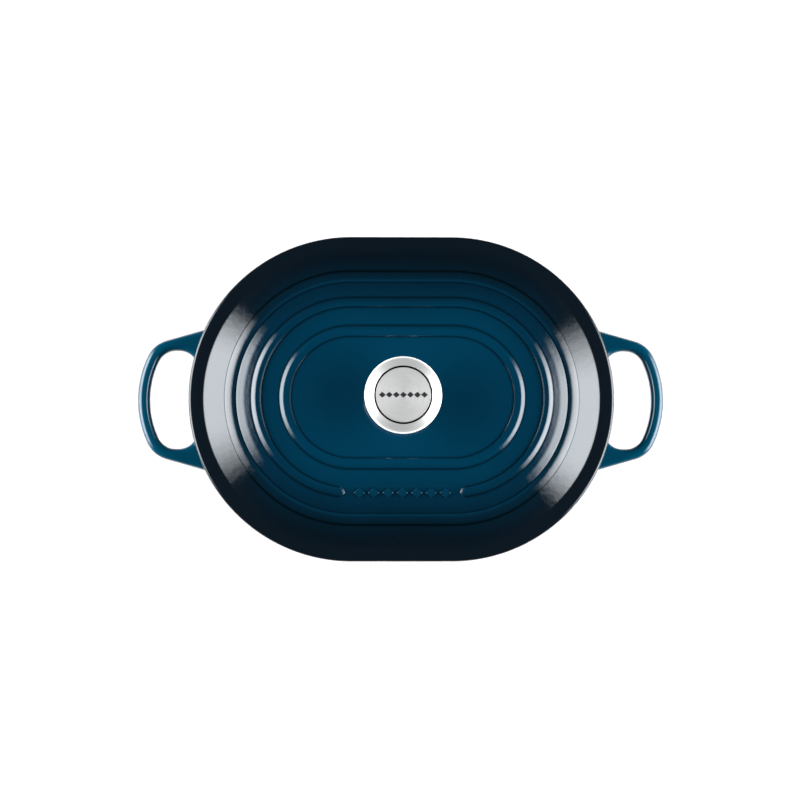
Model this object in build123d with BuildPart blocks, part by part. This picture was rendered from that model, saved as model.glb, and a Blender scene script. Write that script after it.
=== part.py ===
"""Oblong enamelled cast iron dutch oven: a pot with two cast loop handles, a ribbed lid and a steel knob.

Frame: millimetres, +Z up, origin on the table under the middle of the pot, +X along the pot, -Y its front.

Every level section of the two castings is an oblong, which is all the points at one distance r from a
straight spine on the X axis. So each casting is drawn once, as a half section in r and z, and carried
round the spine. The handles are cast in one piece with the pot. The lid lifts straight off along +Z.
"""

import os
from math import atan2, hypot, radians, sqrt, tan

from build123d import *

# ---------------------------------------------------------------- pot
spine_half = 37.6  # half the straight length of every oblong
pot_height = 102.0  # table to rim
rim_radius = 121.0  # r of the rim's outside
rim_height = 8.0  # height of the thick rim
rim_step = 1.6  # how far the rim stands out of the wall
wall = 4.2
floor_thickness = 5.0
draft = 3.5  # degrees, so that the casting leaves its mould
foot_corner = 26.0  # outside radius between wall and base
foot_recess = 0.8  # hollow in the base, which leaves a flat ring to stand on
foot_ring = 9.0  # width of that ring
rim_edge = 1.2  # rounding of the rim's edges

# ---------------------------------------------------------------- loop handles
handle_reach = 40.0  # how far a loop stands out from the rim
handle_drop = 12.0  # rim to the handle's top
handle_thickness = 12.0
handle_bar = 9.0  # width of the bar that the hand holds
handle_bow = 77.0  # plan radius of the bar's outside
handle_corner = 22.0  # plan radius of the loop's outer corners
handle_root = 50.1  # half width of the loop where it passes under the rim's edge
handle_flank = 15.9  # degrees by which the flanks spread towards the pot
loop_half = 37.1  # half length of the finger opening
loop_corner = 14.5
loop_inset = 3.3  # how far the opening's corners lie inside the rim's edge
handle_edge = 4.0  # rounding of the bar's edges
handle_fillet = 3.0  # where the loop runs into the wall

# ---------------------------------------------------------------- lid, heights above the rim it rests on
lid_overhang = 0.6  # lid edge beyond the rim
lid_edge = 5.2  # height of the lid's outer edge
lid_wall = 4.8
flange_width = 9.6  # spans from the edge inwards, each with its rise
flange_rise = 1.35
slope_width = 16.2
slope_rise = 10.5
terrace_width = 8.6  # the outer rib is a terrace on the slope
terrace_step = 2.6
terrace_rise = 0.5
crown_width = 5.2
crown_rise = 2.9
brow_width = 6.7
brow_rise = 1.1
rib_width = 8.5  # the middle rib and the dome under it
rib_rise = 0.9
rib_step = 2.0  # how far the middle rib stands out
rib_shoulder = 1.3
brim_width = 12.4
brim_rise = 0.75
panel_rib_width = 8.6  # the inner rib, round the flat panel
panel_rib_step = 1.3
panel_step = 0.6  # flat panel over the ground outside the inner rib
rib_edge = 1.4  # rounding of the ribs
rib_gap_half = 42.8  # the middle rib stops this far from the middle of the front
seat_edge = 1.0

ridge_clearance = 1.6  # locating ridge to the rim's inside
ridge_width = 3.6
ridge_depth = 4.5

mark_count = 7  # plain raised lozenges fill the gap in the rib
mark_pitch = 10.6
mark_length = 8.4
mark_height = 7.4
mark_rise = 0.6

# ---------------------------------------------------------------- knob, heights above the lid's flat panel
knob_radius = 28.5
knob_height = 33.5
knob_edge = 2.6  # height of the knob's upright edge
bevel_width = 6.9
bevel_drop = 3.1
knob_under = 1.9  # width of the rolled underside
knob_neck = 12.6
neck_low = 6.0
neck_high = 13.5
neck_fillet = 11.0  # from the neck into the slope above it
knob_foot = 17.0
foot_height = 3.4
sheet = 1.3  # thickness of the pressed steel
cap_gap = 0.5  # groove round the cap
cap_thickness = 1.5
ledge = 2.2  # what the cap rests on
cap_mark_count = 7
cap_mark_pitch = 5.1
cap_mark_length = 4.3
cap_mark_height = 3.8
cap_mark_depth = 0.2

gasket_thickness = 0.8
plate_thickness = 1.6
plate_clearance = 0.1  # base plate to the shell's foot
boss_radius = 6.5
boss_height = 15.0
boss_flange_low = 13.0
boss_flange_gap = 0.04  # flange to the shell's waist, where the weld joins them
boss_flange_thickness = 2.2
screw_radius = 3.0
screw_length = 20.0
screw_head_radius = 5.6
screw_head_height = 3.4
screw_clearance = 0.05  # shank to the tapped hole, both drawn without their threads
tapped_depth = 12.5
hole_clearance = 0.4  # screw to the holes that it only passes through
washer_radius = 8.5
washer_thickness = 1.2
washer_clearance = 0.2
spring_washer_radius = 5.4
spring_washer_thickness = 1.5
spring_washer_gap = 1.0
driver_slot = 1.1
driver_reach = 6.4
driver_depth = 1.8

# ---------------------------------------------------------------- worked out
draft_slope = tan(radians(draft))
wall_top = rim_radius - rim_step
wall_foot = wall_top - (pot_height - rim_height) * draft_slope
rim_inside = wall_top - wall
floor_top = foot_recess + floor_thickness
inside_foot = wall_foot - wall + floor_top * draft_slope
pot_end = spine_half + rim_radius

# Sections are drawn on a plane that stands on the right end of the spine and looks along it.
section_plane = Plane(origin=(spine_half, 0, 0), x_dir=(0, -1, 0), z_dir=(-1, 0, 0))
end_axis = Axis((spine_half, 0, 0), (0, 0, 1))


def carry_round(section):
    """The solid that a half section makes when it is carried round the whole spine."""
    with BuildPart() as ring:
        revolve(section, axis=end_axis, revolution_arc=180)
        extrude(section, amount=2 * spine_half)
        mirror(about=Plane.YZ)
        mirror(about=Plane.XZ)
    return ring.part


def from_spine(point):
    """The distance r of a point from the spine, seen from above."""
    return hypot(max(abs(point.X) - spine_half, 0), point.Y)


# ================================================================ pot
with BuildSketch(section_plane) as pot_outside:
    with BuildLine():
        FilletPolyline(
            (0, 0),
            (wall_foot, 0),
            (wall_top, pot_height - rim_height),
            (rim_radius, pot_height - rim_height + rim_step),
            (rim_radius, pot_height),
            (0, pot_height),
            radius=[foot_corner, 2 * rim_step, rim_step, 0],
        )
        Line((0, pot_height), (0, 0))
    make_face()

with BuildSketch(section_plane) as pot_inside:
    with BuildLine():
        FilletPolyline(
            (0, floor_top),
            (inside_foot, floor_top),
            (rim_inside, pot_height - rim_height),
            (rim_inside, pot_height),
            (0, pot_height),
            radius=[foot_corner - wall, rim_height, 0],
        )
        Line((0, pot_height), (0, floor_top))
    make_face()

with BuildSketch(section_plane) as pot_recess:
    with BuildLine():
        Polyline(
            (0, 0),
            (wall_foot - foot_corner - foot_ring + foot_recess, 0),
            (wall_foot - foot_corner - foot_ring, foot_recess),
            (0, foot_recess),
            close=True,
        )
    make_face()


handle_top = pot_height - handle_drop
handle_low = handle_top - handle_thickness
handle_end = pot_end + handle_reach
flank_slope = tan(radians(handle_flank))
root_x = pot_end - foot_corner
root_y = handle_root + flank_slope * foot_corner
tip_y = handle_root - flank_slope * handle_reach
loop_wall = wall_top - handle_drop * draft_slope - 1  # just inside the wall behind the opening

with BuildSketch(Plane.XY.offset(handle_low)) as loop_plan:
    with Locations((handle_end - handle_bow, 0)):
        Circle(handle_bow - handle_bar)
    with Locations((handle_end, 0)):
        Rectangle(4 * handle_reach, 2 * loop_half, mode=Mode.INTERSECT)
    with Locations((spine_half, 0)):
        Circle(loop_wall, mode=Mode.SUBTRACT)
    fillet(loop_plan.vertices(), loop_corner)

with BuildSketch(Plane.XY.offset(handle_low)) as handle_plan:
    with Locations((handle_end - handle_bow, 0)):
        Circle(handle_bow)
    with BuildLine():
        Polyline((root_x, -root_y), (handle_end, -tip_y), (handle_end, tip_y), (root_x, root_y), close=True)
    make_face(mode=Mode.INTERSECT)
    fillet(handle_plan.vertices().filter_by(lambda v: v.X > root_x + 1), handle_corner)
    add(loop_plan.sketch, mode=Mode.SUBTRACT)

with BuildPart() as handle:
    extrude(handle_plan.sketch, amount=handle_thickness)


def wall_radius(height):
    """r of the pot's plain outer wall."""
    return wall_foot + height * draft_slope


def is_bar_edge(edge):
    """A level edge of a handle, away from the wall."""
    middle = edge @ 0.5
    level = all(abs((edge @ t).Z - middle.Z) < 0.01 for t in (0, 1))
    at_face = min(abs(middle.Z - handle_low), abs(middle.Z - handle_top)) < 0.01
    return level and at_face and from_spine(middle) > wall_radius(middle.Z) + 1


def is_root_edge(edge):
    """An edge where a handle meets the wall."""
    points = [edge @ t for t in (0, 0.5, 1)]
    on_wall = all(abs(from_spine(p) - wall_radius(p.Z)) < 0.05 for p in points)
    at_handle = all(handle_low - 0.1 < p.Z < handle_top + 0.1 and abs(p.X) > spine_half for p in points)
    return on_wall and at_handle


with BuildPart() as pot:
    add(carry_round(pot_outside.sketch))
    add(handle.part)
    add(mirror(handle.part, about=Plane.YZ))
    fillet(pot.edges().filter_by(is_bar_edge), handle_edge)
    fillet(pot.edges().filter_by(is_root_edge), handle_fillet)
    add(carry_round(pot_inside.sketch), mode=Mode.SUBTRACT)
    add(carry_round(pot_recess.sketch), mode=Mode.SUBTRACT)
    fillet(pot.edges().group_by(Axis.Z)[-1], rim_edge)
pot.part.label = "pot"

# ================================================================ lid
lid_radius = rim_radius + lid_overhang
ridge_outside = rim_inside - ridge_clearance
ridge_inside = ridge_outside - ridge_width


def inward(point, width, rise):
    """The next point of the lid's line, nearer the spine and higher."""
    return (point[0] - width, point[1] + rise)


edge_top = (lid_radius, pot_height + lid_edge)
flange_end = inward(edge_top, flange_width, flange_rise)
slope_end = inward(flange_end, slope_width, slope_rise)
terrace_edge = inward(slope_end, rib_shoulder, terrace_step)
terrace_end = inward(slope_end, terrace_width, terrace_step + terrace_rise)
crown = inward(terrace_end, crown_width, crown_rise)
rib_foot = inward(crown, brow_width, brow_rise)
rib_end = inward(rib_foot, rib_width, rib_rise)
brim_end = inward(rib_end, brim_width, brim_rise)
panel_rib_out = inward(brim_end, rib_shoulder, panel_rib_step)
panel_rib_in = inward(panel_rib_out, panel_rib_width - 2 * rib_shoulder, 0)
panel_edge = inward(brim_end, panel_rib_width, panel_step)
panel_top = panel_edge[1]
panel_under = panel_top - lid_wall
slope_at_ridge = flange_end[1] + (flange_end[0] - ridge_inside) * slope_rise / slope_width


def below(point):
    """The point of the lid's underside below a point of its line."""
    return (point[0], point[1] - lid_wall)


with BuildSketch(section_plane) as lid_section:
    with BuildLine():
        FilletPolyline(
            (0, panel_top),
            panel_edge,
            panel_rib_in,
            panel_rib_out,
            brim_end,
            rib_end,
            crown,
            terrace_end,
            terrace_edge,
            slope_end,
            flange_end,
            edge_top,
            (lid_radius, pot_height),
            (ridge_outside, pot_height),
            (ridge_outside, pot_height - ridge_depth),
            (ridge_inside, pot_height - ridge_depth),
            (ridge_inside, slope_at_ridge - lid_wall),
            below(slope_end),
            below(terrace_end),
            below(crown),
            (panel_edge[0], panel_under),
            (0, panel_under),
            radius=[
                rib_edge, rib_edge, rib_edge, rib_edge, 0, 3 * lid_wall, 1, 2 * rib_edge, rib_edge, lid_wall,
                2 * seat_edge, seat_edge, 0, seat_edge, seat_edge, 1, lid_wall, lid_wall, 3 * lid_wall, 0,
            ],
        )
        Line((0, panel_under), (0, panel_top))
    make_face()

with BuildSketch(section_plane) as rib_section:
    with BuildLine():
        FilletPolyline(
            below(rib_foot),
            rib_foot,
            inward(rib_foot, rib_shoulder, rib_step),
            inward(rib_end, -rib_shoulder / 2, rib_step - rib_rise / 2),
            rib_end,
            below(rib_end),
            radius=[0, rib_edge, rib_edge, 0],
        )
        Line(below(rib_end), below(rib_foot))
    make_face()

with BuildSketch(section_plane) as mark_section:
    with BuildLine():
        Polyline(
            below(rib_foot),
            inward(rib_foot, 0, mark_rise),
            inward(rib_end, 0, mark_rise),
            below(rib_end),
            close=True,
        )
    make_face()

with BuildPart() as middle_rib:
    add(carry_round(rib_section.sketch))
    with BuildSketch(Plane.XY.offset(pot_height)):
        with Locations((0, -rib_foot[0])):
            SlotOverall(2 * rib_gap_half, 2 * (rib_foot[0] - rib_end[0]) + 4)
    extrude(amount=lid_wall * 10, mode=Mode.SUBTRACT)


def lozenge(length, height):
    """The corners of one plain lozenge mark."""
    return [(length / 2, 0), (0, height / 2), (-length / 2, 0), (0, -height / 2)]


with BuildPart() as marks:
    with BuildSketch(Plane.XY.offset(pot_height)):
        with Locations((0, -(rib_foot[0] + rib_end[0]) / 2)):
            with GridLocations(mark_pitch, mark_pitch, mark_count, 1):
                Polygon(*lozenge(mark_length, mark_height))
    extrude(amount=lid_wall * 10)
    add(carry_round(mark_section.sketch), mode=Mode.INTERSECT)

with BuildPart() as lid:
    add(carry_round(lid_section.sketch))
    add(middle_rib.part)
    add(marks.part)
    with BuildSketch(Plane.XY.offset(pot_height)):
        Circle(screw_radius + hole_clearance)
    extrude(amount=lid_wall * 10, mode=Mode.SUBTRACT)
lid.part.label = "lid"

# ================================================================ knob and fastening, turned about Z
knob_top = panel_top + knob_height
gasket_top = panel_top + gasket_thickness
plate_top = gasket_top + plate_thickness
bevel_inside = knob_radius - bevel_width
cap_seat = knob_top - cap_thickness
cap_radius = bevel_inside - 2 * cap_gap
edge_high = knob_top - bevel_drop
edge_low = edge_high - knob_edge


def beside(before, corner, after, distance):
    """Where a line at a distance to the left of two sides has its corner."""
    before, corner, after = Vector(*before), Vector(*corner), Vector(*after)
    left_1 = (corner - before).normalized().rotate(Axis.Z, 90)
    left_2 = (after - corner).normalized().rotate(Axis.Z, 90)
    moved = corner + (left_1 + left_2) * (distance / (1 + left_1.dot(left_2)))
    return (moved.X, moved.Y)


shell_line = [
    (knob_foot, gasket_top),
    (knob_foot, panel_top + foot_height),
    (knob_neck, panel_top + neck_low),
    (knob_neck, panel_top + neck_high),
    (knob_radius - knob_under, edge_low - knob_under / 2),
    (knob_radius, edge_low),
]
shell_inside = [beside(*shell_line[i : i + 3], sheet) for i in range(4)]

with BuildPart() as knob_shell:
    with BuildSketch(Plane.XZ):
        with BuildLine():
            FilletPolyline(
                (knob_foot - sheet, gasket_top),
                *shell_line,
                (knob_radius, edge_high),
                (bevel_inside, knob_top),
                (bevel_inside - cap_gap, knob_top - cap_gap),
                (bevel_inside - cap_gap, cap_seat),
                (cap_radius - ledge, cap_seat),
                (cap_radius - ledge, cap_seat - sheet),
                (bevel_inside, cap_seat - sheet),
                *reversed(shell_inside),
                radius=[0, 0, 0.8, 3, neck_fillet, 4, 1, 1.4, 0, 0, 0, 0, 0, 0, sheet, neck_fillet + sheet, 3 + sheet, 0],
                close=True,
            )
        make_face()
    revolve(axis=Axis.Z)
knob_shell.part.label = "knob_shell"

with BuildPart() as knob_cap:
    with BuildSketch(Plane.XY.offset(cap_seat)):
        Circle(cap_radius)
    extrude(amount=cap_thickness)
    chamfer(knob_cap.edges().group_by(Axis.Z)[-1], cap_gap / 2)
    with BuildSketch(Plane.XY.offset(knob_top)):
        with GridLocations(cap_mark_pitch, cap_mark_pitch, cap_mark_count, 1):
            Polygon(*lozenge(cap_mark_length, cap_mark_height))
    extrude(amount=-cap_mark_depth, mode=Mode.SUBTRACT)
knob_cap.part.label = "knob_cap"

# The flange reaches the waist's rounding, whose centre is beside the neck and below the slope's start.
slope_lean = atan2(
    knob_radius - knob_under - knob_neck, edge_low - knob_under / 2 - (panel_top + neck_high)
)
rounding_middle = neck_high - neck_fillet * tan(slope_lean / 2)
boss_flange = (
    knob_neck
    + neck_fillet
    - sqrt((neck_fillet + sheet) ** 2 - (boss_flange_low - rounding_middle) ** 2)
    - boss_flange_gap
)

with BuildPart() as knob_core:
    with BuildSketch(Plane.XY.offset(plate_top)):
        Circle(boss_radius)
        Circle(screw_radius, mode=Mode.SUBTRACT)
    extrude(amount=tapped_depth)
    with BuildSketch(Plane.XY.offset(plate_top + tapped_depth)):
        Circle(boss_radius)
    extrude(amount=boss_height - tapped_depth)
    with BuildSketch(Plane.XY.offset(panel_top + boss_flange_low)):
        Circle(boss_flange)
        Circle(boss_radius, mode=Mode.SUBTRACT)
    extrude(amount=boss_flange_thickness)
knob_core.part.label = "knob_core"

with BuildPart() as knob_base_plate:
    with BuildSketch(Plane.XY.offset(gasket_top)):
        Circle(knob_foot - sheet - plate_clearance)
        Circle(screw_radius + hole_clearance, mode=Mode.SUBTRACT)
    extrude(amount=plate_thickness)
knob_base_plate.part.label = "knob_base_plate"

with BuildPart() as knob_gasket:
    with BuildSketch(Plane.XY.offset(panel_top)):
        Circle(knob_foot)
        Circle(screw_radius + hole_clearance, mode=Mode.SUBTRACT)
    extrude(amount=gasket_thickness)
knob_gasket.part.label = "knob_gasket"

washer_low = panel_under - washer_thickness
spring_washer_low = washer_low - spring_washer_thickness
washer_hole = screw_radius + washer_clearance

with BuildPart() as flat_washer:
    with BuildSketch(Plane.XY.offset(washer_low)):
        Circle(washer_radius)
        Circle(washer_hole, mode=Mode.SUBTRACT)
    extrude(amount=washer_thickness)
    chamfer(flat_washer.edges().group_by(Axis.Z)[0].sort_by(Edge.length)[-1], washer_clearance)
flat_washer.part.label = "flat_washer"

with BuildPart() as lock_washer:
    with BuildSketch(Plane.XY.offset(spring_washer_low)):
        Circle(spring_washer_radius)
        Circle(washer_hole, mode=Mode.SUBTRACT)
        with Locations((spring_washer_radius, 0)):
            Rectangle(2 * spring_washer_radius - washer_hole, spring_washer_gap, mode=Mode.SUBTRACT)
    extrude(amount=spring_washer_thickness)
lock_washer.part.label = "lock_washer"

with BuildPart() as knob_screw:
    with BuildSketch(Plane.XY.offset(spring_washer_low - screw_head_height)):
        Circle(screw_head_radius)
    extrude(amount=screw_head_height)
    fillet(knob_screw.edges().group_by(Axis.Z)[0], screw_head_height / 2)
    with BuildSketch(Plane.XY.offset(spring_washer_low)):
        Circle(screw_radius - screw_clearance)
    extrude(amount=screw_length)
    chamfer(knob_screw.edges().group_by(Axis.Z)[-1], screw_radius / 4)
    with BuildSketch(Plane.XY.offset(spring_washer_low - screw_head_height)):
        Rectangle(driver_reach, driver_slot)
        Rectangle(driver_slot, driver_reach)
    extrude(amount=driver_depth, mode=Mode.SUBTRACT)
knob_screw.part.label = "knob_screw"

# ================================================================ one file for each piece
os.makedirs("parts", exist_ok=True)
export_step(pot.part, "parts/pot.step")
export_step(lid.part, "parts/lid.step")
export_step(knob_shell.part, "parts/knob_shell.step")
export_step(knob_cap.part, "parts/knob_cap.step")
export_step(knob_core.part, "parts/knob_core.step")
export_step(knob_base_plate.part, "parts/knob_base_plate.step")
export_step(knob_gasket.part, "parts/knob_gasket.step")
export_step(knob_screw.part, "parts/knob_screw.step")
export_step(lock_washer.part, "parts/lock_washer.step")
export_step(flat_washer.part, "parts/flat_washer.step")
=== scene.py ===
"""An oblong enamelled cast iron dutch oven with its lid on, seen on a white studio table.

Lengths are metres in the scene. Sizes are written in millimetres and multiplied by MM where they are used.
"""

import math

import bpy
from mathutils import Matrix, Vector


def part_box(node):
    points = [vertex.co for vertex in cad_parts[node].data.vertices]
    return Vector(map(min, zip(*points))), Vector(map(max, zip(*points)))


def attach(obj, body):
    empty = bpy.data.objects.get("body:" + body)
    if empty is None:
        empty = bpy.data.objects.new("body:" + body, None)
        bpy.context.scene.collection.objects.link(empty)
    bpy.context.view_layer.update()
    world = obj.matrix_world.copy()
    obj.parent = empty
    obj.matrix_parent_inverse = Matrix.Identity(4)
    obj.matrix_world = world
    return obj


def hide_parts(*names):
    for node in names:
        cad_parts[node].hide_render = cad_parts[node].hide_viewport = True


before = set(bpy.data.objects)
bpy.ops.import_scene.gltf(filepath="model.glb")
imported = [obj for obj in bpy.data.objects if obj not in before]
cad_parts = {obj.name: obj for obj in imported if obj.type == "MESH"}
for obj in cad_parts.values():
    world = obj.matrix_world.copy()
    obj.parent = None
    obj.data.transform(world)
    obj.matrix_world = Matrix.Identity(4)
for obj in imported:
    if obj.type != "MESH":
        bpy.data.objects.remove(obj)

bpy.context.view_layer.update()

MM = 0.001

# ==================================================================================================
# The pot: one casting in grey iron with both loop handles, blasted and then coated with vitreous enamel.
# The outside is dipped in a dark ground coat and sprayed teal from above, so it fades towards the base.
# The inside is sand-coloured gloss enamel, and the rim is left in the matt black ground coat.
rim_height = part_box("pot")[1].z
spine_half = 37.6 * MM  # half the straight length of the oblong
wall_middle = 111.5 * MM  # distance of the wall's middle from the spine, at the base
wall_lean = 0.0612  # how much further out it is for each metre up
floor_middle = 3.3 * MM
corner_middle = 23.9 * MM
rim_band = 0.9 * MM  # bare ground coat below the rim, outside
rim_band_inside = 3.2 * MM


def linear(colour):
    """An sRGB hex colour as the linear RGBA that Blender's sockets take."""
    parts = [int(colour[i : i + 2], 16) / 255 for i in (1, 3, 5)]
    return tuple(c / 12.92 if c <= 0.04045 else ((c + 0.055) / 1.055) ** 2.4 for c in parts) + (1.0,)


def add(tree, kind, inputs=None, stops=(), **settings):
    """Adds a node with its settings, its links and, on a colour ramp, its stops of position and hex colour.

    An input that is given a socket is linked to it, and any other input is set.
    """
    made = tree.nodes.new(kind)
    for name, value in settings.items():
        setattr(made, name, value)
    for key, value in (inputs or {}).items():
        if isinstance(value, bpy.types.NodeSocket):
            tree.links.new(value, made.inputs[key])
        else:
            made.inputs[key].default_value = value
    for n, (position, colour) in enumerate(stops):
        if n > 1:
            made.color_ramp.elements.new(1.0)
        made.color_ramp.elements[n].position = position
        made.color_ramp.elements[n].color = linear(colour)
    return made


def new_material(name):
    """An empty material with its output, and the tree to fill."""
    material = bpy.data.materials.new(name)
    material.use_nodes = True
    material.node_tree.nodes.clear()
    return material, material.node_tree


def finish_material(tree, shader):
    add(tree, "ShaderNodeOutputMaterial", {"Surface": shader.outputs["BSDF"]})


def spine_distance(tree, place):
    """Distance r from the spine, in metres, of a place in Object coordinates."""
    apart = add(tree, "ShaderNodeSeparateXYZ", {"Vector": place})
    across = add(tree, "ShaderNodeMath", {0: apart.outputs["X"]}, operation="ABSOLUTE")
    beyond = add(tree, "ShaderNodeMath", {0: across.outputs[0], 1: spine_half}, operation="SUBTRACT")
    beyond = add(tree, "ShaderNodeMath", {0: beyond.outputs[0], 1: 0.0}, operation="MAXIMUM")
    flat = add(tree, "ShaderNodeCombineXYZ", {"X": beyond.outputs[0], "Y": apart.outputs["Y"], "Z": 0.0})
    return add(tree, "ShaderNodeVectorMath", {0: flat.outputs[0]}, operation="LENGTH").outputs["Value"]


# Enamel is fired glass: it has no metal in it, an IOR near 1.5 and a smooth face. It flows a little in
# the kiln, so it has long shallow waves about 5 mm apart and finer ones about 1.6 mm apart.
ENAMEL_IOR = 1.5
ENAMEL_ROUGHNESS = 0.08
WAVE_LENGTH = 5.0 * MM
FINE_WAVE_LENGTH = 1.6 * MM
WAVE_DEPTH = 0.04 * MM


def enamel_waves(tree, place):
    """The normal of a kiln-fired surface."""
    wave = add(
        tree,
        "ShaderNodeTexNoise",
        {"Vector": place, "Scale": 1 / WAVE_LENGTH, "Detail": 1.0, "Roughness": 0.4},
    )
    fine = add(
        tree,
        "ShaderNodeTexNoise",
        {"Vector": place, "Scale": 1 / FINE_WAVE_LENGTH, "Detail": 1.0, "Roughness": 0.5},
    )
    mixed = add(
        tree,
        "ShaderNodeMix",
        {"Factor": 0.25, "A": wave.outputs["Fac"], "B": fine.outputs["Fac"]},
        data_type="FLOAT",
    )
    bump = add(
        tree,
        "ShaderNodeBump",
        {"Strength": 1.0, "Distance": 2 * WAVE_DEPTH, "Height": mixed.outputs["Result"]},
    )
    return bump.outputs["Normal"]


def sand_colour(tree, place):
    """Sand enamel: warm off-white, with the faint fine specks of its grit."""
    specks = add(tree, "ShaderNodeTexNoise", {"Vector": place, "Scale": 1 / (0.5 * MM), "Detail": 2.0})
    tones = [(0.3, "#b9ad97"), (0.42, "#cfc4ae"), (0.6, "#d8ceb9"), (0.75, "#e2dac8")]
    return add(tree, "ShaderNodeValToRGB", {"Fac": specks.outputs["Fac"]}, stops=tones).outputs["Color"]


pot_enamel, tree = new_material("vitreous enamel of the pot")
place = add(tree, "ShaderNodeTexCoord").outputs["Object"]
height = add(tree, "ShaderNodeSeparateXYZ", {"Vector": place}).outputs["Z"]
distance = spine_distance(tree, place)
# outside: dark at the base, teal towards the rim and the handles
level = add(tree, "ShaderNodeMapRange", {"Value": height, "From Min": 0.0, "From Max": rim_height})
drift = add(tree, "ShaderNodeTexNoise", {"Vector": place, "Scale": 1 / (45 * MM), "Detail": 2.0})
drift = add(tree, "ShaderNodeMapRange", {"Value": drift.outputs["Fac"], "To Min": -0.07, "To Max": 0.07})
level = add(tree, "ShaderNodeMath", {0: level.outputs[0], 1: drift.outputs[0]}, operation="ADD")
outside = [
    (0.0, "#060d12"),
    (0.2, "#07141c"),
    (0.5, "#022330"),
    (0.72, "#003144"),
    (0.9, "#00384c"),
    (1.0, "#002b3b"),
]
outside = add(tree, "ShaderNodeValToRGB", {"Fac": level.outputs[0]}, stops=outside).outputs["Color"]
# inside: nearer the cavity than the middle of the wall
lean = add(
    tree,
    "ShaderNodeMath",
    {0: height, 1: wall_lean, 2: wall_middle - corner_middle},
    operation="MULTIPLY_ADD",
)
over = add(tree, "ShaderNodeMath", {0: distance, 1: lean.outputs[0]}, operation="SUBTRACT")
over = add(tree, "ShaderNodeMath", {0: over.outputs[0], 1: 0.0}, operation="MAXIMUM")
under = add(tree, "ShaderNodeMath", {0: floor_middle + corner_middle, 1: height}, operation="SUBTRACT")
under = add(tree, "ShaderNodeMath", {0: under.outputs[0], 1: 0.0}, operation="MAXIMUM")
round_corner = add(tree, "ShaderNodeCombineXYZ", {"X": over.outputs[0], "Y": under.outputs[0], "Z": 0.0})
round_corner = add(tree, "ShaderNodeVectorMath", {0: round_corner.outputs[0]}, operation="LENGTH")
is_inside = add(
    tree, "ShaderNodeMath", {0: round_corner.outputs["Value"], 1: corner_middle}, operation="LESS_THAN"
)
coat = add(
    tree,
    "ShaderNodeMix",
    {"Factor": is_inside.outputs[0], "A": outside, "B": sand_colour(tree, place)},
    data_type="RGBA",
)
# rim: matt black, with a slightly uneven edge where the colour coat was wiped off
uneven = add(tree, "ShaderNodeTexNoise", {"Vector": place, "Scale": 1 / (9 * MM), "Detail": 2.0})
uneven = add(
    tree, "ShaderNodeMapRange", {"Value": uneven.outputs["Fac"], "To Min": -0.3 * MM, "To Max": 0.3 * MM}
)
band = add(
    tree,
    "ShaderNodeMapRange",
    {"Value": is_inside.outputs[0], "To Min": rim_height - rim_band, "To Max": rim_height - rim_band_inside},
)
band = add(tree, "ShaderNodeMath", {0: band.outputs[0], 1: uneven.outputs[0]}, operation="ADD")
is_rim = add(tree, "ShaderNodeMath", {0: height, 1: band.outputs[0]}, operation="GREATER_THAN")
# the flat ring that the pot stands on is bare ground coat too, rubbed dull
is_foot = add(tree, "ShaderNodeMath", {0: height, 1: 0.4 * MM}, operation="LESS_THAN")
is_matt = add(tree, "ShaderNodeMath", {0: is_rim.outputs[0], 1: is_foot.outputs[0]}, operation="MAXIMUM")
grain = add(tree, "ShaderNodeTexNoise", {"Vector": place, "Scale": 1 / (0.6 * MM), "Detail": 3.0})
ground_coat = add(
    tree, "ShaderNodeValToRGB", {"Fac": grain.outputs["Fac"]}, stops=[(0.3, "#0b0c0d"), (0.7, "#17191a")]
).outputs["Color"]
coat = add(
    tree,
    "ShaderNodeMix",
    {"Factor": is_matt.outputs[0], "A": coat.outputs["Result"], "B": ground_coat},
    data_type="RGBA",
)
roughness = add(
    tree, "ShaderNodeMapRange", {"Value": is_matt.outputs[0], "To Min": ENAMEL_ROUGHNESS, "To Max": 0.45}
)
finish_material(
    tree,
    add(
        tree,
        "ShaderNodeBsdfPrincipled",
        {
            "Base Color": coat.outputs["Result"],
            "Roughness": roughness.outputs[0],
            "IOR": ENAMEL_IOR,
            "Normal": enamel_waves(tree, place),
        },
    ),
)
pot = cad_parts["pot"]
pot.material_slots[0].material = pot_enamel

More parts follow.
